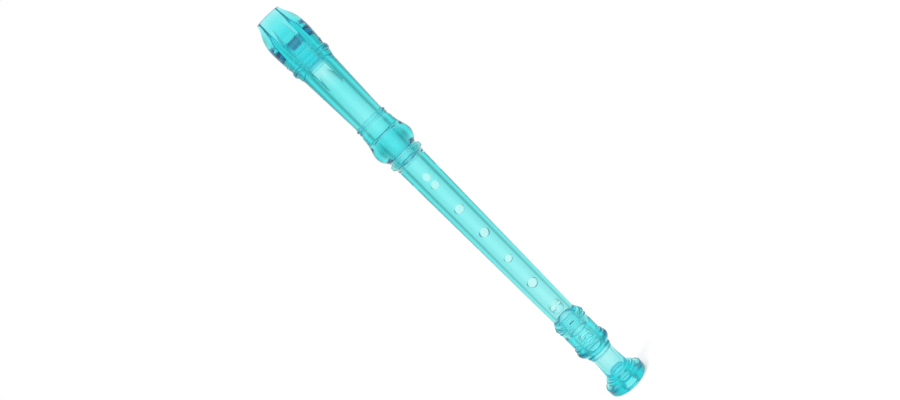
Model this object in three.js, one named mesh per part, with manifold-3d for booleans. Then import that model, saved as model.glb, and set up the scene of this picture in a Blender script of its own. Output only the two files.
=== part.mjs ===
// Soprano recorder in three joints, moulded in clear tinted plastic.
// It stands on the end face of its foot, with the axis along +Z and the finger holes facing -Y.
// Heights in the outlines below are measured upwards from the lower end of each joint.
import * as THREE from 'three';
import { mergeVertices } from 'three/addons/utils/BufferGeometryUtils.js';
import Module from 'manifold-3d';

const wasm = await Module();
wasm.setup();

// Lengths along the axis, in millimetres
const footLength = 62.1;
const middleLength = 139.4;

// Tenons of the middle joint, the sockets they slide into, and the clearances of the fits
const upperTenonDiameter = 17.8;
const upperTenonLength = 24.4;
const upperSocketSpare = 0.6;
const lowerTenonDiameter = 15;
const lowerTenonLength = 13;
const lowerSocketSpare = 0.5;
const tenonClearance = 0.2;
const tenonChamfer = 0.6;
const shoulderGap = 0.3;
const blockClearance = 0.2;

// Bores
const headBore = 13.4;
const headBoreBevel = 0.6;
const middleBoreTop = 12.6;
const middleBoreBottom = 11.2;
const footBoreTop = 11.6;
const footBoreNeck = 11.4;
const footBoreEnd = 8.4;
const footBoreStepHeight = 10.6;
const footBoreBevel = 1.2;

// Outside of the middle joint
const middleDiameterTop = 21.2;
const middleDiameterBottom = 17.3;
const shoulderRound = 0.3;

// Turned rings: height of the middle above the joint's lower end, width and diameter
const headMouthDiameter = 21.2;
const headMouthTaper = 2.6;
const headMouthBead = { height: 5.2, width: 4.2, diameter: 25.2 };
const headGrooveDiameter = 22;
const bulbStart = 8.9;
const bulb = { height: 16.8, diameter: 29.8 };
const bulbTop = { height: 31.5, diameter: 24 };
const bulbFullness = { atWidest: 0.28, atTop: 0.45 };
const lowerThinRing = { height: 34.8, width: 1.6, diameter: 23.2 };
const upperThinRing = { height: 37, width: 1.9, diameter: 24 };
const thinRingGroove = 22.4;
const headTubeStart = { height: 40.5, diameter: 21.8 };
const headTubeEnd = { height: 83.1, diameter: 25.2 };
const headShoulder = { height: 85.1, diameter: 26.6 };
const beakBead = { height: 90, width: 4.4, diameter: 29.6 };
const beakBeadFoot = 27.4;
const beakNeck = { height: 93.5, diameter: 27.6 };
const beakRing = { height: 96.5, width: 1.5, diameter: 29 };
const beakStartDiameter = 28.4;

// Beak: the front leans back from the widest place to the tip, the sides are cut in to a waist,
// and the underside is hollowed for the lip
const beakWidest = { height: 109, diameter: 29.7 };
const beakWaist = { height: 122.6, width: 21.4 };
const beakFullness = 0.52;
const beakWaistHandle = { out: 1.8, down: 3.2 };
const tipLength = 5.3;
const tipWidth = 18;
const tipFront = 7.2;
const lipThickness = 6.1;
const lipRound = { length: 9.5, depth: 3.4 };
const lipHollowSweep = 9;
const lipHollowLength = 24.5;

// Windway, window and labium
const windwayWidthAtTip = 12.3;
const windwayWidthAtWindow = 10;
const windowAboveTubeEnd = 1;
const windwayRoofAtTip = 5.1;
const windwayHeightAtTip = 1.4;
const windwayRoofAtWindow = 7.4;
const windwayHeightAtWindow = 1.2;
const windowLength = 3.8;
const labiumHeight = 6.8;
const labiumEdge = 0.3;
const labiumRampLength = 19.5;
const labiumRampWidth = 13.2;
const labiumUndercutLength = 18;

// Hollow of the block, open at its lower end and parted by a web, and the mark of the mould's pin
const blockSideWall = 0.9;
const blockTopWall = 1.8;
const blockLipWall = 2.2;
const blockCoreFromTip = 10.2;
const blockWeb = 5.4;
const blockWebSetBack = 3.7;
const pinMark = { diameter: 4.4, depth: 0.8, fromTip: 28.5 };

// Finger holes: distance below the upper shoulder, diameter, and turn about the axis
const fingerHoles = [
  { below: 20.1, diameter: 5.5, turn: 0 },
  { below: 41.8, diameter: 6.2, turn: 0 },
  { below: 63.6, diameter: 6.3, turn: 6.6 },
  { below: 86.2, diameter: 5.2, turn: 0 },
  { below: 108.4, diameter: 6.5, turn: 0 },
];
const thumbHole = { below: 13.2, diameter: 5.8, turn: 180 };

// Double holes for the last two fingers, each pair in a shallow flat
const ringFingerPairBelow = 130;
const littleFingerPairHeight = 45.2;
const littleFingerTurn = 2;
const pairLarge = 3.6;
const pairSmall = 2.4;
const pairLargeOffset = -2.2;
const pairSmallOffset = 2.9;
const pairFlatDepth = 1.2;
const pairFlatLength = 8.8;
const pairFlatRound = 3;

// Outside of the foot joint
const endFaceDiameter = 25.2;
const rimLowerEdge = { height: 2.3, diameter: 29.4 };
const rim = { height: 6.1, diameter: 29.5 };
const rimTop = { height: 6.6, diameter: 28.6 };
const ledge = { height: 7.3, diameter: 23.6 };
const bellSide = { height: 7.8, diameter: 23 };
const bellTop = { height: 9.2, diameter: 22.8 };
const bellShoulder = { height: 10.4, diameter: 20.8 };
const neckStart = { height: 12, diameter: 18 };
const neckEnd = { height: 26.6, diameter: 16.2 };
const neckFillet = { height: 27.3, width: 1, diameter: 17.2 };
const neckCollar = { height: 29.4, width: 2.8, diameter: 18.8 };
const largeRingStart = { height: 30.9, diameter: 17.8 };
const largeRing = { height: 35.3, diameter: 25 };
const smallRing = { height: 38.4, width: 2.2, diameter: 23.6 };
const footBodyStart = 40;
const footBodyEnd = 49.7;
const footBodyDiameter = 21.8;
const cove = { height: 50.6, diameter: 21.2 };
const coveEnd = 52.4;
const footThinRing = { height: 54.2, width: 1.8, diameter: 22.4 };
const footMouthBead = { height: 57.6, width: 4, diameter: 23.2 };
const footBeadFoot = 21.4;
const footMouthDiameter = 18.6;

// Fineness of the faceted surfaces
const sidesAround = 40;
const sidesOfHole = 24;
const curveSteps = 3;
const beakSteps = 8;
const cutMargin = 2;

// Lengths of the head and its windway, and the heights of the joints in the assembled instrument
const headLength = beakWaist.height + tipLength;
const windwayLength = headLength - headTubeEnd.height - windowAboveTubeEnd;
const middleBottom = footLength + shoulderGap;
const middleTop = middleBottom + middleLength;
const headBottom = middleTop + shoulderGap;
const headTop = headBottom + headLength;
const windowTop = headTop - windwayLength;
const windowBottom = windowTop - windowLength;

// Turns a closed geometry into a solid that can be joined and cut.
// Where a turned outline meets the axis its facets shrink to lines, which are left out.
function solidOf(geometry) {
  geometry.deleteAttribute('normal');
  geometry.deleteAttribute('uv');
  const merged = mergeVertices(geometry);
  const corners = merged.index.array;
  const triangles = [];
  for (let i = 0; i < corners.length; i += 3) {
    const triangle = corners.slice(i, i + 3);
    if (new Set(triangle).size === 3) triangles.push(...triangle);
  }
  return new wasm.Manifold(new wasm.Mesh({
    numProp: 3,
    vertProperties: merged.attributes.position.array,
    triVerts: Uint32Array.from(triangles),
  }));
}

function geometryOf(solid) {
  const { vertProperties, triVerts } = solid.getMesh();
  const geometry = new THREE.BufferGeometry();
  geometry.setAttribute('position', new THREE.BufferAttribute(vertProperties, 3));
  geometry.setIndex(new THREE.BufferAttribute(triVerts, 1));
  geometry.computeVertexNormals();
  return geometry;
}

// A form turned about Z: the path walks up the outside and down the bore, back to its start
function turned(path, bottom) {
  path.closePath();
  const points = path.getPoints(curveSteps);
  const geometry = new THREE.LatheGeometry(points, sidesAround);
  geometry.rotateX(Math.PI / 2);
  geometry.translate(0, 0, bottom);
  return geometry;
}

// A round bead on a turned outline, which leaves the surface at baseDiameter
function bead(path, ring, baseDiameter) {
  const crown = (ring.diameter - baseDiameter) / 2;
  path.absellipse(baseDiameter / 2, ring.height, crown, ring.width / 2, -Math.PI / 2, Math.PI / 2, false);
}

// A shape drawn in the side view, as (y, z) pairs, and carried across a width that may change with z
function extruded(shape, width) {
  const geometry = new THREE.ExtrudeGeometry(shape, { depth: 1, bevelEnabled: false });
  const corners = geometry.attributes.position;
  for (let i = 0; i < corners.count; i += 1) {
    const [y, z] = [corners.getX(i), corners.getY(i)];
    const half = (typeof width === 'function' ? width(z) : width) / 2;
    corners.setXYZ(i, corners.getZ(i) > 0 ? half : -half, y, z);
  }
  return geometry;
}

function acrossWidth(shape, width) {
  return solidOf(extruded(shape, width));
}

function sideShape(pairs) {
  return new THREE.Shape(pairs.map(([y, z]) => new THREE.Vector2(y, z)));
}

// A drill that runs from the axis out through the front at height z, then is turned about the axis
function drill(diameter, reach, x, z, turn) {
  const geometry = new THREE.CylinderGeometry(diameter / 2, diameter / 2, reach, sidesOfHole);
  geometry.translate(x, -reach / 2, z);
  geometry.rotateZ(THREE.MathUtils.degToRad(turn));
  return solidOf(geometry);
}

// Cutter for a double hole: a flat with rounded corners and two drills side by side in it
function doubleHole(surfaceRadius, z, turn) {
  const half = pairFlatLength / 2;
  const flat = new THREE.Shape();
  flat.moveTo(-half + pairFlatRound, -half);
  flat.absarc(half - pairFlatRound, -half + pairFlatRound, pairFlatRound, -Math.PI / 2, 0, false);
  flat.absarc(half - pairFlatRound, half - pairFlatRound, pairFlatRound, 0, Math.PI / 2, false);
  flat.absarc(-half + pairFlatRound, half - pairFlatRound, pairFlatRound, Math.PI / 2, Math.PI, false);
  flat.absarc(-half + pairFlatRound, -half + pairFlatRound, pairFlatRound, Math.PI, 1.5 * Math.PI, false);
  const depth = pairFlatDepth + cutMargin;
  const pad = new THREE.ExtrudeGeometry(flat, { depth, bevelEnabled: false, curveSegments: curveSteps });
  pad.rotateX(Math.PI / 2);
  pad.translate(0, -surfaceRadius + pairFlatDepth, z);
  pad.rotateZ(THREE.MathUtils.degToRad(turn));
  const reach = surfaceRadius + cutMargin;
  return solidOf(pad)
    .add(drill(pairLarge, reach, pairLargeOffset, z, turn))
    .add(drill(pairSmall, reach, pairSmallOffset, z, turn));
}

// Foot joint: a belled foot, a waisted neck and a ringed socket
function footJoint() {
  const socketFloor = footLength - lowerTenonLength - lowerSocketSpare;
  const socketRadius = lowerTenonDiameter / 2 + tenonClearance;
  const path = new THREE.Path();
  path.moveTo(endFaceDiameter / 2, 0);
  path.quadraticCurveTo(rimLowerEdge.diameter / 2, 0, rimLowerEdge.diameter / 2, rimLowerEdge.height);
  for (const edge of [rim, rimTop, ledge, bellSide, bellTop]) path.lineTo(edge.diameter / 2, edge.height);
  path.quadraticCurveTo(bellTop.diameter / 2, bellShoulder.height,
    bellShoulder.diameter / 2, bellShoulder.height);
  path.quadraticCurveTo(neckStart.diameter / 2, bellShoulder.height,
    neckStart.diameter / 2, neckStart.height);
  path.quadraticCurveTo(neckEnd.diameter / 2, (neckStart.height + neckEnd.height) / 2,
    neckEnd.diameter / 2, neckEnd.height);
  bead(path, neckFillet, neckEnd.diameter);
  bead(path, neckCollar, neckEnd.diameter);
  path.lineTo(largeRingStart.diameter / 2, largeRingStart.height);
  path.quadraticCurveTo(largeRing.diameter / 2, (largeRingStart.height + largeRing.height) / 2,
    largeRing.diameter / 2, largeRing.height);
  path.quadraticCurveTo(largeRing.diameter / 2, smallRing.height - smallRing.width / 2,
    smallRing.diameter / 2, smallRing.height - smallRing.width / 2);
  path.lineTo(smallRing.diameter / 2, smallRing.height);
  path.quadraticCurveTo(smallRing.diameter / 2, footBodyStart, footBodyDiameter / 2, footBodyStart);
  path.lineTo(footBodyDiameter / 2, footBodyEnd);
  path.lineTo(cove.diameter / 2, cove.height);
  path.lineTo(footBeadFoot / 2, coveEnd);
  bead(path, footThinRing, footBeadFoot);
  bead(path, footMouthBead, footBeadFoot);
  path.lineTo(footMouthDiameter / 2, footLength);
  path.lineTo(socketRadius, footLength);
  path.lineTo(socketRadius, socketFloor);
  path.lineTo(footBoreTop / 2, socketFloor);
  path.lineTo(footBoreNeck / 2, footBoreStepHeight + footBoreBevel);
  path.lineTo(footBoreEnd / 2, footBoreStepHeight);
  path.lineTo(footBoreEnd / 2, 0);
  const pair = doubleHole(footBodyDiameter / 2, littleFingerPairHeight, littleFingerTurn);
  return solidOf(turned(path, 0)).subtract(pair);
}

// Middle joint: a tapered tube with a tenon at each end and the finger holes
function middleJoint() {
  const upperTenon = upperTenonDiameter / 2;
  const lowerTenon = lowerTenonDiameter / 2;
  const tenonTop = middleLength + upperTenonLength;
  const path = new THREE.Path();
  path.moveTo(lowerTenon - tenonChamfer, -lowerTenonLength);
  path.lineTo(lowerTenon, -lowerTenonLength + tenonChamfer);
  path.lineTo(lowerTenon, 0);
  path.lineTo(middleDiameterBottom / 2 - shoulderRound, 0);
  path.lineTo(middleDiameterBottom / 2, shoulderRound);
  path.lineTo(middleDiameterTop / 2, middleLength - shoulderRound);
  path.lineTo(middleDiameterTop / 2 - shoulderRound, middleLength);
  path.lineTo(upperTenon, middleLength);
  path.lineTo(upperTenon, tenonTop - tenonChamfer);
  path.lineTo(upperTenon - tenonChamfer, tenonTop);
  path.lineTo(middleBoreTop / 2, tenonTop);
  path.lineTo(middleBoreBottom / 2, -lowerTenonLength);
  const outerReach = middleDiameterTop / 2 + cutMargin;
  const pairRadius = THREE.MathUtils.mapLinear(ringFingerPairBelow, 0, middleLength,
    middleDiameterTop, middleDiameterBottom) / 2;
  let tube = solidOf(turned(path, middleBottom));
  for (const hole of [...fingerHoles, thumbHole]) {
    tube = tube.subtract(drill(hole.diameter, outerReach, 0, middleTop - hole.below, hole.turn));
  }
  return tube.subtract(doubleHole(pairRadius, middleTop - ringFingerPairBelow, 0));
}

// Leans the turned beak back, from its widest place to the tip
function leanBack(geometry) {
  const start = headBottom + beakWidest.height;
  const slope = (beakWidest.diameter / 2 - tipFront) / (headTop - start);
  const corners = geometry.attributes.position;
  for (let i = 0; i < corners.count; i += 1) {
    corners.setY(i, corners.getY(i) + slope * Math.max(0, corners.getZ(i) - start));
  }
  return geometry;
}

// What lies beside the beak on one side: drawn in the front view and carried from front to back
function beakFlank(side) {
  const widest = beakWidest.diameter / 2;
  const waist = beakWaist.width / 2;
  const tip = tipWidth / 2;
  const fullness = beakFullness * (beakWaist.height - beakWidest.height);
  const path = new THREE.Path();
  path.moveTo(widest, beakWidest.height);
  path.bezierCurveTo(widest, beakWidest.height + fullness, waist + beakWaistHandle.out,
    beakWaist.height - beakWaistHandle.down, waist, beakWaist.height);
  path.quadraticCurveTo(tip, beakWaist.height + tipLength / 2, tip, headLength);
  path.lineTo(tip, headLength + cutMargin);
  path.lineTo(widest + cutMargin, headLength + cutMargin);
  path.lineTo(widest + cutMargin, beakWidest.height);
  const outline = path.getPoints(beakSteps).map(({ x, y }) => [side * x, headBottom + y]);
  const flank = extruded(sideShape(outline), 2 * beakWidest.diameter);
  return solidOf(flank.rotateZ(-Math.PI / 2));
}

// Hollow under the beak, where the lower lip goes, or the same form some way inside it
function lipHollow(inside) {
  const lip = lipThickness - tipFront - inside;
  const flat = lip + lipRound.depth;
  const flatTop = headTop - lipRound.length;
  const end = headTop - lipHollowLength;
  const back = beakWidest.diameter;
  const hollow = new THREE.Shape();
  hollow.moveTo(lip, headTop + cutMargin);
  hollow.lineTo(lip, headTop);
  hollow.quadraticCurveTo(flat, headTop - lipRound.length / 2, flat, flatTop);
  hollow.quadraticCurveTo(flat, flatTop - lipHollowSweep, beakWidest.diameter / 2 - inside, end);
  hollow.lineTo(back, end);
  hollow.lineTo(back, headTop + cutMargin);
  return acrossWidth(hollow, beakWidest.diameter + cutMargin);
}

// The windway runs straight from the tip to the window: its width, and its roof and floor in the side view
function alongWindway(atTip, atWindow, z) {
  return THREE.MathUtils.mapLinear(z, headTop, windowTop, atTip, atWindow);
}

const windwayWidth = (z) => alongWindway(windwayWidthAtTip, windwayWidthAtWindow, z);
const windwayRoof = (z) => -alongWindway(windwayRoofAtTip, windwayRoofAtWindow, z);
const windwayFloor = (z) => windwayRoof(z) + alongWindway(windwayHeightAtTip, windwayHeightAtWindow, z);

// A round plug with square shoulders and a sloping top: the block, or the seat that it fills
function plugShape(diameter, width, top, bottom, end) {
  const length = end - bottom;
  const round = new THREE.CylinderGeometry(diameter / 2, diameter / 2, length, sidesAround);
  round.rotateX(Math.PI / 2);
  round.translate(0, 0, bottom + length / 2);
  const shoulders = acrossWidth(sideShape([
    [0, bottom],
    [top(bottom), bottom],
    [top(end), end],
    [0, end],
  ]), width);
  const above = acrossWidth(sideShape([
    [top(bottom - cutMargin), bottom - cutMargin],
    [-diameter, bottom - cutMargin],
    [-diameter, end + cutMargin],
    [top(end + cutMargin), end + cutMargin],
  ]), diameter);
  return solidOf(round).add(shoulders).subtract(above);
}

// Head joint: a shell with the beak, the window with its labium, and the bulb of the socket
function headJoint() {
  const socketFloor = upperTenonLength + upperSocketSpare;
  const socketRadius = upperTenonDiameter / 2 + tenonClearance;
  const path = new THREE.Path();
  path.moveTo(headMouthDiameter / 2, 0);
  path.lineTo(headGrooveDiameter / 2, headMouthTaper);
  bead(path, headMouthBead, headGrooveDiameter);
  path.lineTo(headGrooveDiameter / 2, bulbStart);
  path.quadraticCurveTo(bulb.diameter / 2, (bulbStart + bulb.height) / 2, bulb.diameter / 2, bulb.height);
  const bulbFall = bulbTop.height - bulb.height;
  path.bezierCurveTo(bulb.diameter / 2, bulb.height + bulbFall * bulbFullness.atWidest,
    bulbTop.diameter / 2, bulbTop.height - bulbFall * bulbFullness.atTop,
    bulbTop.diameter / 2, bulbTop.height);
  bead(path, lowerThinRing, thinRingGroove);
  bead(path, upperThinRing, thinRingGroove);
  path.quadraticCurveTo(headTubeStart.diameter / 2, upperThinRing.height + upperThinRing.width,
    headTubeStart.diameter / 2, headTubeStart.height);
  path.lineTo(headTubeEnd.diameter / 2, headTubeEnd.height);
  path.lineTo(headShoulder.diameter / 2, headShoulder.height);
  bead(path, beakBead, beakBeadFoot);
  path.lineTo(beakNeck.diameter / 2, beakNeck.height);
  bead(path, beakRing, beakStartDiameter);
  const beakStart = beakRing.height + beakRing.width / 2;
  path.quadraticCurveTo(beakWidest.diameter / 2, (beakStart + beakWidest.height) / 2,
    beakWidest.diameter / 2, beakWidest.height);
  path.lineTo(beakWidest.diameter / 2, headLength);
  path.lineTo(0, headLength);
  path.lineTo(0, headLength - windwayLength);
  path.lineTo(headBore / 2, headLength - windwayLength);
  path.lineTo(headBore / 2, socketFloor + headBoreBevel);
  path.lineTo(headBore / 2 + headBoreBevel, socketFloor);
  path.lineTo(socketRadius, socketFloor);
  path.lineTo(socketRadius, 0);
  const shell = solidOf(leanBack(turned(path, headBottom)));

  // Seat of the block and the windway above it, open at the tip and at the window
  const seat = plugShape(headBore, windwayWidth, windwayRoof, windowTop, headTop + cutMargin);

  // Window, and the flat ramp that rises from the labium's edge to the outside
  const outside = -beakWidest.diameter / 2 - cutMargin;
  const rampRise = headTubeEnd.diameter / 2 - labiumHeight;
  const rampEnd = windowBottom + labiumRampLength * (outside + labiumHeight) / rampRise;
  const window = acrossWidth(sideShape([
    [outside, windowTop],
    [outside, windowBottom],
    [0, windowBottom],
    [0, windowTop],
  ]), windwayWidthAtWindow);
  const ramp = acrossWidth(sideShape([
    [outside, windowTop],
    [outside, rampEnd],
    [-labiumHeight, windowBottom],
    [-labiumHeight, windowTop],
  ]), labiumRampWidth);

  // Underside of the labium, hollowed so that its edge is thin from side to side
  const undercut = acrossWidth(sideShape([
    [0, windowTop],
    [-labiumHeight + labiumEdge, windowTop],
    [-labiumHeight + labiumEdge, windowBottom],
    [0, windowBottom - labiumUndercutLength],
  ]), windwayWidthAtWindow);

  return shell
    .subtract(beakFlank(1))
    .subtract(beakFlank(-1))
    .subtract(lipHollow(0))
    .subtract(seat)
    .subtract(window)
    .subtract(ramp)
    .subtract(undercut);
}

// Block: the plug that closes the head's bore and makes the floor of the windway
function block() {
  const diameter = headBore - 2 * blockClearance;
  const plug = plugShape(diameter, (z) => windwayWidth(z) - 2 * blockClearance, windwayFloor,
    windowTop, headTop);

  // Hollow with the block's own outline, less its walls, and parted by the web
  const coreDiameter = diameter - 2 * blockSideWall;
  const webEnd = windowTop + blockWebSetBack;
  const web = acrossWidth(sideShape([
    [-diameter, webEnd],
    [diameter, webEnd],
    [diameter, headTop],
    [-diameter, headTop],
  ]), blockWeb);
  const core = plugShape(coreDiameter, coreDiameter / 2, (z) => windwayFloor(z) + blockTopWall,
    windowTop - cutMargin, headTop - blockCoreFromTip);

  const pin = new THREE.CylinderGeometry(pinMark.diameter / 2, pinMark.diameter / 2, diameter, sidesOfHole);
  pin.translate(0, diameter - pinMark.depth, headTop - pinMark.fromTip);

  return plug
    .subtract(lipHollow(0))
    .subtract(core.subtract(web).subtract(lipHollow(blockLipWall)))
    .subtract(solidOf(pin));
}

// Clear tinted plastic, the same for every joint; the block looks deeper where the light is shut in
function tintedPlastic(color) {
  return new THREE.MeshStandardMaterial({ color, roughness: 0.12, metalness: 0 });
}

function piece(name, solid, color) {
  const mesh = new THREE.Mesh(geometryOf(solid), tintedPlastic(color));
  mesh.name = name;
  return mesh;
}

const recorder = new THREE.Group();
recorder.add(piece('foot_joint', footJoint(), 0x55cfd0));
recorder.add(piece('middle_joint', middleJoint(), 0x7fe9e6));
recorder.add(piece('head_joint', headJoint(), 0x62d9d6));
recorder.add(piece('block', block(), 0x3f9bb0));

export default recorder;
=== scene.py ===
import math

import bmesh
import bpy
from mathutils import Matrix, Vector, geometry


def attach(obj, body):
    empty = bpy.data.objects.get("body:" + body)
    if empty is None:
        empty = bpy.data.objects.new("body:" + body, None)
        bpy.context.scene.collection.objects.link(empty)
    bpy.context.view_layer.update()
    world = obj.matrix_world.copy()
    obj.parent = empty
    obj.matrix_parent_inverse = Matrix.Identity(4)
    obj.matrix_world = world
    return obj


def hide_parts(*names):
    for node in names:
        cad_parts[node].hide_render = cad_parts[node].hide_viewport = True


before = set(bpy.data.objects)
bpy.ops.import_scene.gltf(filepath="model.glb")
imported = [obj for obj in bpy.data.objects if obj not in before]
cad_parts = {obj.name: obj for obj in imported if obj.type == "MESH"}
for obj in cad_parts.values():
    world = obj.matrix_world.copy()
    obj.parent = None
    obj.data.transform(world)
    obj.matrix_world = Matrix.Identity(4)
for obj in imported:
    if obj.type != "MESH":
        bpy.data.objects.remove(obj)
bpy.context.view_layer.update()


# Middle joint: the tapered tube with a tenon at each end, moulded in one piece of clear tinted plastic
# on a long core. Five single finger holes and one double hole in front, the thumb hole at the back.
# Both tenons are bare plastic, turned true in the mould, and slide into the sockets of head and foot.
MM = 0.001
SIDES = 192
EDGE_ROUND = 0.25
LOOP_STEP = 2.5
HOLE_SIDES = 64
CORNER_ANGLE = math.radians(25)
CRISP_ANGLE = math.radians(35)

foot_length = 62.1
middle_length = 139.4
shoulder_gap = 0.3
middle_bottom = foot_length + shoulder_gap
middle_top = middle_bottom + middle_length

upper_tenon = {"radius": 8.9, "length": 24.4}
lower_tenon = {"radius": 7.5, "length": 13.0}
tenon_chamfer = 0.6
tenon_clearance = 0.2
middle_radius = {"top": 10.6, "bottom": 8.65}
middle_bore = {"top": 6.3, "bottom": 5.6}

finger_holes = [
    {"below": 20.1, "diameter": 5.5, "turn": 0.0},
    {"below": 41.8, "diameter": 6.2, "turn": 0.0},
    {"below": 63.6, "diameter": 6.3, "turn": 6.6},
    {"below": 86.2, "diameter": 5.2, "turn": 0.0},
    {"below": 108.4, "diameter": 6.5, "turn": 0.0},
    {"below": 13.2, "diameter": 5.8, "turn": 180.0},
]
ring_finger_below = 130.0
pair_large = {"diameter": 3.6, "x": -2.2}
pair_small = {"diameter": 2.4, "x": 2.9}
pair_flat = {"depth": 1.2, "length": 8.8, "round": 3.0}
cut_margin = 2.0


def turned(outline, bottom):
    """A closed outline of (radius, height) in mm, softened at its corners and spun about the axis."""
    shape = bmesh.new()
    corners = [shape.verts.new((r * MM, 0, (bottom + z) * MM)) for r, z in outline]
    for pair in zip(corners, corners[1:] + corners[:1]):
        shape.edges.new(pair)
    for corner in corners:
        ways = [e.other_vert(corner).co - corner.co for e in corner.link_edges]
        if math.pi - ways[0].angle(ways[1]) > CORNER_ANGLE and corner.co.x > 0:
            just_under_half = 0.45 * min(way.length for way in ways)
            bmesh.ops.bevel(
                shape, geom=[corner], offset=min(EDGE_ROUND * MM, just_under_half), segments=4,
                profile=0.5, affect="VERTICES", material=-1)
    for edge in shape.edges[:]:
        cuts = int(edge.calc_length() / (LOOP_STEP * MM))
        if cuts:
            bmesh.ops.subdivide_edges(shape, edges=[edge], cuts=cuts)
    bmesh.ops.spin(
        shape, geom=shape.verts[:] + shape.edges[:], axis=(0, 0, 1), cent=(0, 0, 0),
        steps=SIDES, angle=2 * math.pi, use_merge=True)
    bmesh.ops.remove_doubles(shape, verts=shape.verts, dist=1e-7)
    bmesh.ops.recalc_face_normals(shape, faces=shape.faces)
    return shape


def solid(name, shape):
    mesh = bpy.data.meshes.new(name)
    shape.to_mesh(mesh)
    shape.free()
    piece = bpy.data.objects.new(name, mesh)
    bpy.context.scene.collection.objects.link(piece)
    return piece


def cut(piece, *cutters, operation="DIFFERENCE"):
    """Takes the cutters out of the piece, and removes them."""
    for shape in cutters:
        tool = solid("cutter", shape)
        modifier = piece.modifiers.new("cut", "BOOLEAN")
        modifier.operation = operation
        modifier.solver = "MANIFOLD"
        modifier.object = tool
        made = bpy.data.meshes.new_from_object(
            piece.evaluated_get(bpy.context.evaluated_depsgraph_get()))
        piece.modifiers.clear()
        piece.data = made
        bpy.data.objects.remove(tool)


def finished(piece, material):
    """Smooth shading with the moulded corners kept crisp, and the one material all over."""
    piece.data.shade_smooth()
    piece.data.set_sharp_from_angle(angle=CRISP_ANGLE)
    piece.data.materials.clear()
    piece.data.materials.append(material)
    piece.data.polygons.foreach_set("material_index", [0] * len(piece.data.polygons))


def drill(diameter, reach, x, z, turn):
    """A round cutter from the axis out through the front, turned about the axis by some degrees."""
    shape = bmesh.new()
    bmesh.ops.create_cone(
        shape, cap_ends=True, segments=HOLE_SIDES, radius1=diameter / 2 * MM,
        radius2=diameter / 2 * MM, depth=reach * MM)
    place = (Matrix.Rotation(math.radians(turn), 4, "Z")
             @ Matrix.Translation((x * MM, -reach / 2 * MM, z * MM))
             @ Matrix.Rotation(math.pi / 2, 4, "X"))
    bmesh.ops.transform(shape, matrix=place, verts=shape.verts)
    return shape


def finger_flat(surface, z, turn):
    """Cutter for the shallow flat with rounded corners that a double hole lies in."""
    shape = bmesh.new()
    bmesh.ops.create_cube(shape, size=MM)
    size = (pair_flat["length"], pair_flat["depth"] + cut_margin, pair_flat["length"])
    bmesh.ops.scale(shape, vec=size, verts=shape.verts)
    upright = [e for e in shape.edges if abs((e.verts[0].co - e.verts[1].co).y) > 1e-6]
    bmesh.ops.bevel(
        shape, geom=upright, offset=pair_flat["round"] * MM, segments=12, profile=0.5,
        affect="EDGES", material=-1)
    middle = -surface + pair_flat["depth"] - size[1] / 2
    place = (Matrix.Rotation(math.radians(turn), 4, "Z")
             @ Matrix.Translation((0, middle * MM, z * MM)))
    bmesh.ops.transform(shape, matrix=place, verts=shape.verts)
    return shape


def double_hole(piece, surface, z, turn):
    """Cuts a flat into the piece, with a large and a small hole side by side in it."""
    reach = surface + cut_margin
    cut(piece, finger_flat(surface, z, turn),
        drill(pair_large["diameter"], reach, pair_large["x"], z, turn),
        drill(pair_small["diameter"], reach, pair_small["x"], z, turn))


def linear(hex_colour):
    """A colour written as sRGB hex, as the linear values that Blender works in."""
    parts = [int(hex_colour[i:i + 2], 16) / 255 for i in (1, 3, 5)]
    return (*[c / 12.92 if c <= 0.04045 else ((c + 0.055) / 1.055) ** 2.4 for c in parts], 1.0)


def add(tree, kind, sockets=None, **settings):
    """Adds a node: its settings, and for each socket either a value or the output it is linked from."""
    node = tree.nodes.new(kind)
    for name, value in settings.items():
        setattr(node, name, value)
    for name, value in (sockets or {}).items():
        if isinstance(value, bpy.types.NodeSocket):
            tree.links.new(value, node.inputs[name])
        else:
            node.inputs[name].default_value = value
    return node


def clear_tinted_plastic(name, tint, density):
    """Clear styrene plastic with a little dye in it, moulded in a polished tool: the colour deepens
    with the length of plastic that the light crosses, and slow waves from the moulding bend it."""
    material = bpy.data.materials.new(name)
    material.use_nodes = True
    tree = material.node_tree
    tree.nodes.clear()
    wave_spacing, wave_depth, scuff_spacing = 16.0, 0.6, 5.0
    place = add(tree, "ShaderNodeTexCoord").outputs["Object"]
    waves = add(tree, "ShaderNodeTexNoise", {
        "Vector": place, "Scale": 1 / (wave_spacing * MM), "Detail": 1.0})
    surface = add(tree, "ShaderNodeBump", {
        "Height": waves.outputs["Fac"], "Strength": 0.25, "Distance": wave_depth * MM})
    scuffs = add(tree, "ShaderNodeTexNoise", {
        "Vector": place, "Scale": 1 / (scuff_spacing * MM), "Detail": 5.0})
    polished = add(tree, "ShaderNodeMapRange", {
        "Value": scuffs.outputs["Fac"], "From Min": 0.3, "From Max": 0.7,
        "To Min": 0.02, "To Max": 0.07})
    plastic = add(tree, "ShaderNodeBsdfPrincipled", {
        "Base Color": linear("#ffffff"), "IOR": 1.54, "Transmission Weight": 1.0,
        "Roughness": polished.outputs["Result"], "Normal": surface.outputs["Normal"]})
    dye = add(tree, "ShaderNodeVolumeAbsorption", {"Color": linear(tint), "Density": density})
    add(tree, "ShaderNodeOutputMaterial", {
        "Surface": plastic.outputs["BSDF"], "Volume": dye.outputs["Volume"]})
    return material


tinted_plastic = clear_tinted_plastic("clear_tinted_plastic", "#42f7fa", 185.0)

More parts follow.
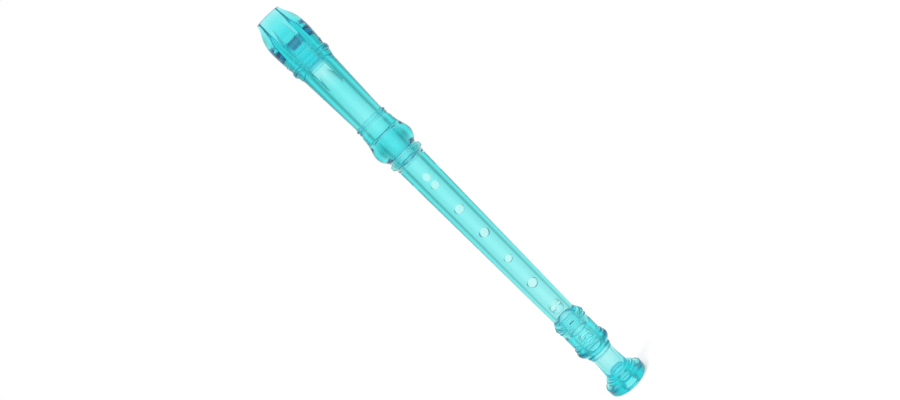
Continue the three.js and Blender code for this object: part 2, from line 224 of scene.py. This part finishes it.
middle_outline = [
    (lower_tenon["radius"] - tenon_chamfer, -lower_tenon["length"]),
    (lower_tenon["radius"], -lower_tenon["length"] + tenon_chamfer),
    (lower_tenon["radius"], 0),
    (middle_radius["bottom"], 0),
    (middle_radius["top"], middle_length),
    (upper_tenon["radius"], middle_length),
    (upper_tenon["radius"], middle_length + upper_tenon["length"] - tenon_chamfer),
    (upper_tenon["radius"] - tenon_chamfer, middle_length + upper_tenon["length"]),
    (middle_bore["top"], middle_length + upper_tenon["length"]),
    (middle_bore["bottom"], -lower_tenon["length"]),
]
middle_joint = solid("middle_tube", turned(middle_outline, middle_bottom))
for hole in finger_holes:
    cut(middle_joint, drill(hole["diameter"], middle_radius["top"] + cut_margin, 0,
                            middle_top - hole["below"], hole["turn"]))
pair_share = ring_finger_below / middle_length
pair_surface = middle_radius["top"] + (middle_radius["bottom"] - middle_radius["top"]) * pair_share
double_hole(middle_joint, pair_surface, middle_top - ring_finger_below, 0.0)
finished(middle_joint, tinted_plastic)
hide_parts("middle_joint")
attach(middle_joint, "middle")


# Foot joint: a ringed socket, a waisted neck and a belled foot, moulded in one piece of the same
# plastic. It turns on the lower tenon, and has the double hole for the little finger in its flat.
foot_end_radius = 12.6
rim_lower = (14.7, 2.3)
rim = (14.75, 6.1)
rim_top = (14.3, 6.6)
ledge = (11.8, 7.3)
bell_side = (11.5, 7.8)
bell_top = (11.4, 9.2)
bell_shoulder = (10.4, 10.4)
neck_start = (9.0, 12.0)
neck_end = (8.1, 26.6)
neck_fillet = {"height": 27.3, "width": 1.0, "radius": 8.6}
neck_collar = {"height": 29.4, "width": 2.8, "radius": 9.4}
large_ring_start = (8.9, 30.9)
large_ring = (12.5, 35.3)
small_ring = {"height": 38.4, "width": 2.2, "radius": 11.8}
foot_body = {"start": 40.0, "end": 49.7, "radius": 10.9}
cove = (10.6, 50.6)
cove_end = 52.4
foot_thin_ring = {"height": 54.2, "width": 1.8, "radius": 11.2}
foot_mouth_bead = {"height": 57.6, "width": 4.0, "radius": 11.6}
foot_bead_foot = 10.7
foot_mouth = 9.3
foot_mouth_dome = (10.6, 59.9)
lower_socket_spare = 0.5
foot_socket_floor = foot_length - lower_tenon["length"] - lower_socket_spare
foot_bore = {"top": 5.8, "neck": 5.7, "end": 4.2, "step": 10.6, "bevel": 1.2}
little_finger = {"height": 45.2, "turn": 2.0}

QUARTER_ROUND = 0.5523
LOOSE_BEND = 2 / 3
BEND_STEPS = 12
LONG_BEND_STEPS = 24


def bend(start, corner, end, fullness=LOOSE_BEND, steps=BEND_STEPS):
    """A curve in the outline that leaves towards a corner and turns to its end."""
    a, b, c = Vector(start), Vector(corner), Vector(end)
    return [tuple(p) for p in geometry.interpolate_bezier(
        a, a.lerp(b, fullness), c.lerp(b, fullness), c, steps)]


def bead(ring, foot):
    """A half-round ring that stands up from the radius of its foot."""
    low, high = ring["height"] - ring["width"] / 2, ring["height"] + ring["width"] / 2
    crest = (ring["radius"], ring["height"])
    return (bend((foot, low), (ring["radius"], low), crest, QUARTER_ROUND)
            + bend(crest, (ring["radius"], high), (foot, high), QUARTER_ROUND)[1:])


small_ring_low = small_ring["height"] - small_ring["width"] / 2
foot_outline = [
    *bend((foot_end_radius, 0), (rim_lower[0], 0), rim_lower, QUARTER_ROUND),
    rim,
    rim_top,
    ledge,
    bell_side,
    bell_top,
    *bend(bell_top, (bell_top[0], bell_shoulder[1]), bell_shoulder)[1:],
    *bend(bell_shoulder, (neck_start[0], bell_shoulder[1]), neck_start)[1:],
    *bend(neck_start, (neck_end[0], (neck_start[1] + neck_end[1]) / 2), neck_end,
          steps=LONG_BEND_STEPS)[1:],
    *bead(neck_fillet, neck_end[0]),
    *bead(neck_collar, neck_end[0]),
    *bend(large_ring_start, (large_ring[0], (large_ring_start[1] + large_ring[1]) / 2), large_ring),
    *bend(large_ring, (large_ring[0], small_ring_low), (small_ring["radius"], small_ring_low))[1:],
    *bend((small_ring["radius"], small_ring["height"]), (small_ring["radius"], foot_body["start"]),
          (foot_body["radius"], foot_body["start"])),
    (foot_body["radius"], foot_body["end"]),
    cove,
    (foot_bead_foot, cove_end),
    *bead(foot_thin_ring, foot_bead_foot),
    *bead(foot_mouth_bead, foot_bead_foot)[:BEND_STEPS],
    *bend((foot_mouth_bead["radius"], foot_mouth_bead["height"]), foot_mouth_dome,
          (foot_mouth, foot_length))[1:],
    (lower_tenon["radius"] + tenon_clearance, foot_length),
    (lower_tenon["radius"] + tenon_clearance, foot_socket_floor),
    (foot_bore["top"], foot_socket_floor),
    (foot_bore["neck"], foot_bore["step"] + foot_bore["bevel"]),
    (foot_bore["end"], foot_bore["step"]),
    (foot_bore["end"], 0),
]
foot_joint = solid("foot_bell_and_socket", turned(foot_outline, 0.0))
double_hole(foot_joint, foot_body["radius"], little_finger["height"], little_finger["turn"])
finished(foot_joint, tinted_plastic)
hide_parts("foot_joint")
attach(foot_joint, "foot")


# Head joint: the shell with the beak, the window and its labium, and the bulb round the socket.
# It is moulded in one piece of the same plastic, with cores for the socket and for the block's seat.
head_length = 127.9
head_bottom = middle_top + shoulder_gap
head_top = head_bottom + head_length
head_mouth = 10.6
head_mouth_taper = 2.6
head_mouth_bead = {"height": 5.2, "width": 4.2, "radius": 12.6}
head_groove = 11.0
bulb_start = 8.9
bulb = (14.9, 16.8)
bulb_top = (12.0, 31.5)
bulb_fullness = {"widest": 0.28, "top": 0.45}
thin_ring_low = {"height": 34.8, "width": 1.6, "radius": 11.6}
thin_ring_high = {"height": 37.0, "width": 1.9, "radius": 12.0}
thin_ring_groove = 11.2
head_tube_start = (10.9, 40.5)
head_tube_end = (12.6, 83.1)
head_shoulder = (13.3, 85.1)
beak_bead = {"height": 90.0, "width": 4.4, "radius": 14.8}
beak_bead_foot = 13.7
beak_neck = (13.8, 93.5)
beak_ring = {"height": 96.5, "width": 1.5, "radius": 14.5}
beak_start = 14.2
beak_widest = (14.85, 109.0)
beak_waist = (10.7, 122.6)
beak_fullness = 0.52
BEAK_STEPS = 20
beak_waist_handle = (1.8, 3.2)
tip_radius = 9.0
tip_front = 7.2
tip_round = 1.4
lip_thickness = 6.1
beak_hollow = {"length": 24.5, "bend": 9.5, "fall": 3.4, "sweep": 9.0, "rise": 8.0}
head_bore = 6.7
upper_socket_spare = 0.6
bore_step_bevel = 0.6
windway_width = {"tip": 12.3, "window": 10.0}
windway_length = 43.8
windway_roof = {"tip": 5.1, "window": 7.4}
windway_height = {"tip": 1.4, "window": 1.2}
window_length = 3.8
labium = {"height": 6.8, "edge": 0.3, "ramp": 19.5, "width": 11.6, "undercut": 18.0}
window_top = head_top - windway_length
window_bottom = window_top - window_length


def curve(start, leave, arrive, end, steps):
    return [tuple(p) for p in geometry.interpolate_bezier(
        Vector(start), Vector(leave), Vector(arrive), Vector(end), steps)]


beak_ring_top = beak_ring["height"] + beak_ring["width"] / 2
beak_fall = beak_fullness * (beak_waist[1] - beak_widest[1])
beak_swell = bend((beak_start, beak_ring_top),
                  (beak_widest[0], (beak_ring_top + beak_widest[1]) / 2), beak_widest)
beak_side = [
    *curve(beak_widest, (beak_widest[0], beak_widest[1] + beak_fall),
           (beak_waist[0] + beak_waist_handle[0], beak_waist[1] - beak_waist_handle[1]),
           beak_waist, BEAK_STEPS),
    *bend(beak_waist, (tip_radius, (beak_waist[1] + head_length) / 2), (tip_radius, head_length))[1:],
]
bulb_fall = bulb_top[1] - bulb[1]
head_socket = upper_tenon["radius"] + tenon_clearance
socket_floor = upper_tenon["length"] + upper_socket_spare
head_outline = [
    (head_mouth, 0),
    (head_groove, head_mouth_taper),
    *bead(head_mouth_bead, head_groove),
    *bend((head_groove, bulb_start), (bulb[0], (bulb_start + bulb[1]) / 2), bulb),
    *curve(bulb, (bulb[0], bulb[1] + bulb_fall * bulb_fullness["widest"]),
           (bulb_top[0], bulb_top[1] - bulb_fall * bulb_fullness["top"]), bulb_top,
           LONG_BEND_STEPS)[1:],
    *bead(thin_ring_low, thin_ring_groove),
    *bead(thin_ring_high, thin_ring_groove)[:-1],
    *bend((thin_ring_groove, thin_ring_high["height"] + thin_ring_high["width"] / 2),
          (head_tube_start[0], thin_ring_high["height"] + thin_ring_high["width"]), head_tube_start),
    head_tube_end,
    head_shoulder,
    *bead(beak_bead, beak_bead_foot),
    beak_neck,
    *bead(beak_ring, beak_start)[:-1],
    *beak_swell,
    *bend((beak_widest[0], head_length - tip_round), (beak_widest[0], head_length),
          (beak_widest[0] - tip_round, head_length)),
    (0, head_length),
    (0, head_length - windway_length),
    (head_bore, head_length - windway_length),
    (head_bore, socket_floor + bore_step_bevel),
    (head_bore + bore_step_bevel, socket_floor),
    (head_socket, socket_floor),
    (head_socket, 0),
]


def across(side_view, width):
    """A cutter from a side view of (y, z) in mm, carried across a width that may change with z."""
    half = (lambda z: width(z) / 2) if callable(width) else (lambda z: width / 2)
    shape = bmesh.new()
    face = shape.faces.new([shape.verts.new((-half(z) * MM, y * MM, z * MM)) for y, z in side_view])
    for corner in bmesh.ops.extrude_face_region(shape, geom=[face])["geom"]:
        if isinstance(corner, bmesh.types.BMVert):
            corner.co.x *= -1
    bmesh.ops.recalc_face_normals(shape, faces=shape.faces)
    return shape


def beak_flank(side):
    """What lies beside the beak, whose sides are cut in towards the tip."""
    edge = [(side * r, head_bottom + z) for r, z in beak_side]
    beyond = side * (beak_widest[0] + cut_margin)
    flank = across([*edge, (edge[-1][0], head_top + cut_margin), (beyond, head_top + cut_margin),
                    (beyond, edge[0][1])], 4 * beak_widest[0])
    bmesh.ops.rotate(flank, matrix=Matrix.Rotation(-math.pi / 2, 3, "Z"), verts=flank.verts)
    return flank


def lip_hollow(inside=0.0):
    """The hollow under the beak for the player's lower lip, or a shape that far inside it. At the
    sides its end rises towards the tip."""
    lip = lip_thickness - tip_front - inside
    back = 2 * beak_widest[0]
    dip = (lip + beak_hollow["fall"], head_top - beak_hollow["bend"])
    end = head_top - beak_hollow["length"]
    hollow = [*bend((lip, head_top), (dip[0], (head_top + dip[1]) / 2), dip),
              *bend(dip, (dip[0], dip[1] - beak_hollow["sweep"]),
                    (beak_widest[0] - inside, end), steps=LONG_BEND_STEPS)[1:]]
    cutter = across([(lip, head_top + cut_margin), *hollow, (back, end), (back, head_top + cut_margin)],
                    2 * beak_widest[0] + cut_margin)
    crosswise = [e for e in cutter.edges if abs(e.verts[0].co.x - e.verts[1].co.x) > MM]
    bmesh.ops.subdivide_edges(cutter, edges=crosswise, cuts=LONG_BEND_STEPS)
    for corner in cutter.verts:
        below_dip = max(0, (dip[1] - corner.co.z / MM) / (dip[1] - end))
        aside = corner.co.x / MM / beak_widest[0]
        corner.co.z += beak_hollow["rise"] * below_dip * aside ** 2 * MM
    return cutter


def windway_line(at_tip, at_window, z):
    """A height in the windway, measured to the front, which changes evenly from tip to window."""
    share = (head_top - z) / windway_length
    return -(at_tip + (at_window - at_tip) * share)


def windway_side(z):
    return -windway_line(windway_width["tip"], windway_width["window"], z)


def roof(z):
    return windway_line(windway_roof["tip"], windway_roof["window"], z)


def floor_line(z):
    return windway_line(windway_roof["tip"] - windway_height["tip"],
                        windway_roof["window"] - windway_height["window"], z)


def plug(radius, width, top, bottom, end):
    """A round plug with square shoulders and a sloping top: the block, or the seat that it is
    pressed into."""
    shape = bmesh.new()
    bmesh.ops.create_cone(
        shape, cap_ends=True, segments=SIDES, radius1=radius * MM, radius2=radius * MM,
        depth=(end - bottom) * MM, matrix=Matrix.Translation((0, 0, (bottom + end) / 2 * MM)))
    whole = solid("plug", shape)
    cut(whole, across([(0, bottom), (top(bottom), bottom), (top(end), end), (0, end)], width),
        operation="UNION")
    low, high = bottom - cut_margin, end + cut_margin
    cut(whole, across([(top(low), low), (-2 * radius, low), (-2 * radius, high), (top(high), high)],
                      2 * radius + cut_margin))
    return whole


def taken(piece):
    """The piece's shape as a cutter; the piece itself goes."""
    shape = bmesh.new()
    shape.from_mesh(piece.data)
    bpy.data.objects.remove(piece)
    return shape


head_shape = turned(head_outline, head_bottom)
lean = (beak_widest[0] - tip_front) / (head_length - beak_widest[1])
for corner in head_shape.verts:
    corner.co.y += lean * max(0, corner.co.z - (head_bottom + beak_widest[1]) * MM)
head_joint = solid("head_shell", head_shape)
seat = plug(head_bore, windway_side, roof, window_top, head_top + cut_margin)
outside = -beak_widest[0] - cut_margin
ramp_rise = head_tube_end[0] - labium["height"]
ramp_end = window_bottom + labium["ramp"] * (outside + labium["height"]) / ramp_rise
under = -labium["height"] + labium["edge"]
slot = across([(outside, window_top), (outside, window_bottom), (0, window_bottom), (0, window_top)],
              windway_width["window"])
ramp_cut = across([(outside, window_top), (outside, ramp_end), (-labium["height"], window_bottom),
                   (-labium["height"], window_top)], labium["width"])
cut(head_joint, beak_flank(1), beak_flank(-1), lip_hollow(), taken(seat), slot, ramp_cut,
    across([(0, window_top), (under, window_top), (under, window_bottom),
            (0, window_bottom - labium["undercut"])], windway_width["window"]))
finished(head_joint, tinted_plastic)
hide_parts("head_joint")
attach(head_joint, "head")


# Block: the plug pressed into the beak, whose flat top is the floor of the windway. It is moulded
# separately in the same plastic, hollow from its lower end with a web down the middle, and has the
# round mark of the pin that pushed it out of the mould.
block_clearance = 0.2
block_wall = {"side": 0.9, "top": 1.8, "lip": 2.2}
block_core = {"from_tip": 10.2, "web": 5.4, "web_set_back": 3.7}
pin_mark = {"diameter": 4.4, "depth": 0.8, "from_tip": 28.5}

block_radius = head_bore - block_clearance
block = plug(block_radius, lambda z: windway_side(z) - 2 * block_clearance, floor_line,
             window_top, head_top)
block.name = "windway_block"
core_top = head_top - block_core["from_tip"]
web_end = window_top + block_core["web_set_back"]
core = plug(block_radius - block_wall["side"], lambda z: block_radius,
            lambda z: floor_line(z) + block_wall["top"], window_top - cut_margin, core_top)
cut(core, lip_hollow(block_wall["lip"]),
    across([(-block_radius, web_end), (block_radius, web_end), (block_radius, head_top),
            (-block_radius, head_top)], block_core["web"]))
pin = drill(pin_mark["diameter"], 2 * block_radius, 0, head_top - pin_mark["from_tip"], 180.0)
bmesh.ops.translate(pin, vec=(0, (block_radius - pin_mark["depth"]) * MM, 0), verts=pin.verts)
cut(block, lip_hollow(), taken(core), pin)
finished(block, tinted_plastic)
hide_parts("block")
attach(block, "head")


# Table and room: a plain white sheet that the recorder stands on, which keeps its soft shadow, in a
# white room. The camera sees the room as white. The plastic bends and mirrors the same room, which
# is shaded towards its sides, floor and ceiling.
table = bmesh.new()
bmesh.ops.create_circle(table, cap_ends=True, segments=96, radius=2.5)
table = solid("table", table)
paper = bpy.data.materials.new("white_paper")
paper.use_nodes = True
sheet = paper.node_tree
sheet.nodes.clear()
paper_face = add(sheet, "ShaderNodeBsdfDiffuse", {"Color": linear("#f4f4f4")})
glow = add(sheet, "ShaderNodeEmission", {"Color": linear("#ffffff"), "Strength": 0.35})
lit_paper = add(sheet, "ShaderNodeAddShader", {
    0: paper_face.outputs["BSDF"], 1: glow.outputs["Emission"]})
add(sheet, "ShaderNodeOutputMaterial", {"Surface": lit_paper.outputs["Shader"]})
table.data.materials.append(paper)
table.visible_glossy = False
table.visible_transmission = False

room = bpy.data.worlds.new("white_room")
room.use_nodes = True
bpy.context.scene.world = room
walls = room.node_tree
walls.nodes.clear()
towards = add(walls, "ShaderNodeSeparateXYZ", {
    0: add(walls, "ShaderNodeTexCoord").outputs["Generated"]})
downwards = add(walls, "ShaderNodeMath", {0: towards.outputs["Z"], 1: 0.0}, operation="MINIMUM")
spread = add(walls, "ShaderNodeMath", {
    0: downwards.outputs[0], 1: 0.75, 2: 1.0}, operation="MULTIPLY_ADD")
sideways = add(walls, "ShaderNodeMath", {
    0: towards.outputs["X"], 1: spread.outputs[0]}, operation="MULTIPLY")
panels = linear("#ffffff")
for direction, stops in (
        (sideways.outputs[0], ((-1.0, "#9caab4"), (-0.9, "#b2bbb7"), (-0.68, "#d2d8d6"),
                               (-0.36, "#ffffff"), (0.36, "#ffffff"), (0.68, "#d2d8d6"),
                               (0.9, "#b2bbb7"), (1.0, "#9caab4"))),
        (towards.outputs["Y"], ((-0.9, "#ffffff"), (-0.7, "#dfe4ec"), (0.2, "#ffffff"),
                                (0.7, "#fffffa"))),
        (towards.outputs["Z"], ((-1.0, "#c0d0f0"), (-0.85, "#dfe8f4"), (-0.55, "#ffffff"),
                                (0.6, "#ffffff"), (1.0, "#dfe6e8")))):
    along_ramp = add(walls, "ShaderNodeMath", {0: direction, 1: 0.5, 2: 0.5}, operation="MULTIPLY_ADD")
    shade = add(walls, "ShaderNodeValToRGB", {0: along_ramp.outputs[0]})
    ramp = shade.color_ramp
    ramp.interpolation = "EASE"
    ramp.elements.remove(ramp.elements[1])
    ramp.elements[0].position = stops[0][0] / 2 + 0.5
    ramp.elements[0].color = linear(stops[0][1])
    for stop, colour in stops[1:]:
        ramp.elements.new(stop / 2 + 0.5).color = linear(colour)
    panels = add(walls, "ShaderNodeMix", {
        "Factor": 1.0, "A": panels, "B": shade.outputs["Color"]},
        data_type="RGBA", blend_type="MULTIPLY").outputs[2]
ray = add(walls, "ShaderNodeLightPath")
shown = add(walls, "ShaderNodeMath", {
    0: ray.outputs["Is Glossy Ray"], 1: ray.outputs["Is Transmission Ray"]}, operation="MAXIMUM")
show = add(walls, "ShaderNodeMix", {
    "Factor": shown.outputs[0], "A": linear("#dadada"), "B": panels}, data_type="RGBA")
seen = add(walls, "ShaderNodeMix", {
    "Factor": ray.outputs["Is Camera Ray"], "A": show.outputs[2], "B": linear("#ffffff")},
    data_type="RGBA")
background = add(walls, "ShaderNodeBackground", {"Color": seen.outputs[2], "Strength": 1.0})
add(walls, "ShaderNodeOutputWorld", {"Surface": background.outputs["Background"]})


# Lamp: one large soft box above the front left, as in a small product studio. It lights the sheet,
# and the plastic doesn't mirror it.
lamp_data = bpy.data.lights.new("soft_box", "AREA")
lamp_data.shape = "SQUARE"
lamp_data.size = 0.9
lamp_data.energy = 12.0
soft_box = bpy.data.objects.new("soft_box", lamp_data)
soft_box.location = (-0.9, -0.8, 1.3)
lit_point = Vector((0, 0, 0.15))
soft_box.rotation_euler = (lit_point - soft_box.location).to_track_quat("-Z", "Y").to_euler()
soft_box.visible_glossy = False
soft_box.visible_transmission = False
bpy.context.scene.collection.objects.link(soft_box)


# Camera: half a metre in front of the standing recorder and a little above its middle, rolled so that
# the recorder lies across the frame.
lens_pixels = 800.0
frame_width = 900.0
tilt = math.radians(4.0)
swing = math.radians(2.15)
lie_across = {"along": -0.7053, "aside": 0.70891}
aim = Vector((0.00013, 0, 0.1677))
camera_distance = 0.5138
light_bounces = 64
camera_data = bpy.data.cameras.new("camera")
camera_data.sensor_width = 36.0
camera_data.lens = lens_pixels / frame_width * camera_data.sensor_width
camera = bpy.data.objects.new("camera", camera_data)
swung = Matrix.Rotation(-swing, 3, "Z")
along = swung @ Vector((0, math.sin(tilt), math.cos(tilt)))
forward = swung @ Vector((0, math.cos(tilt), -math.sin(tilt)))
aside = swung @ Vector((1, 0, 0))
right = (lie_across["along"] * along + lie_across["aside"] * aside).normalized()
up = (-forward).cross(right).normalized()
position = aim - forward * camera_distance
camera.matrix_world = Matrix((
    (right.x, up.x, -forward.x, position.x),
    (right.y, up.y, -forward.y, position.y),
    (right.z, up.z, -forward.z, position.z),
    (0, 0, 0, 1)))
bpy.context.scene.collection.objects.link(camera)
bpy.context.scene.camera = camera
bpy.context.scene.view_settings.view_transform = "Standard"
bpy.context.scene.cycles.max_bounces = light_bounces
bpy.context.scene.cycles.transmission_bounces = light_bounces
bpy.context.scene.cycles.glossy_bounces = light_bounces
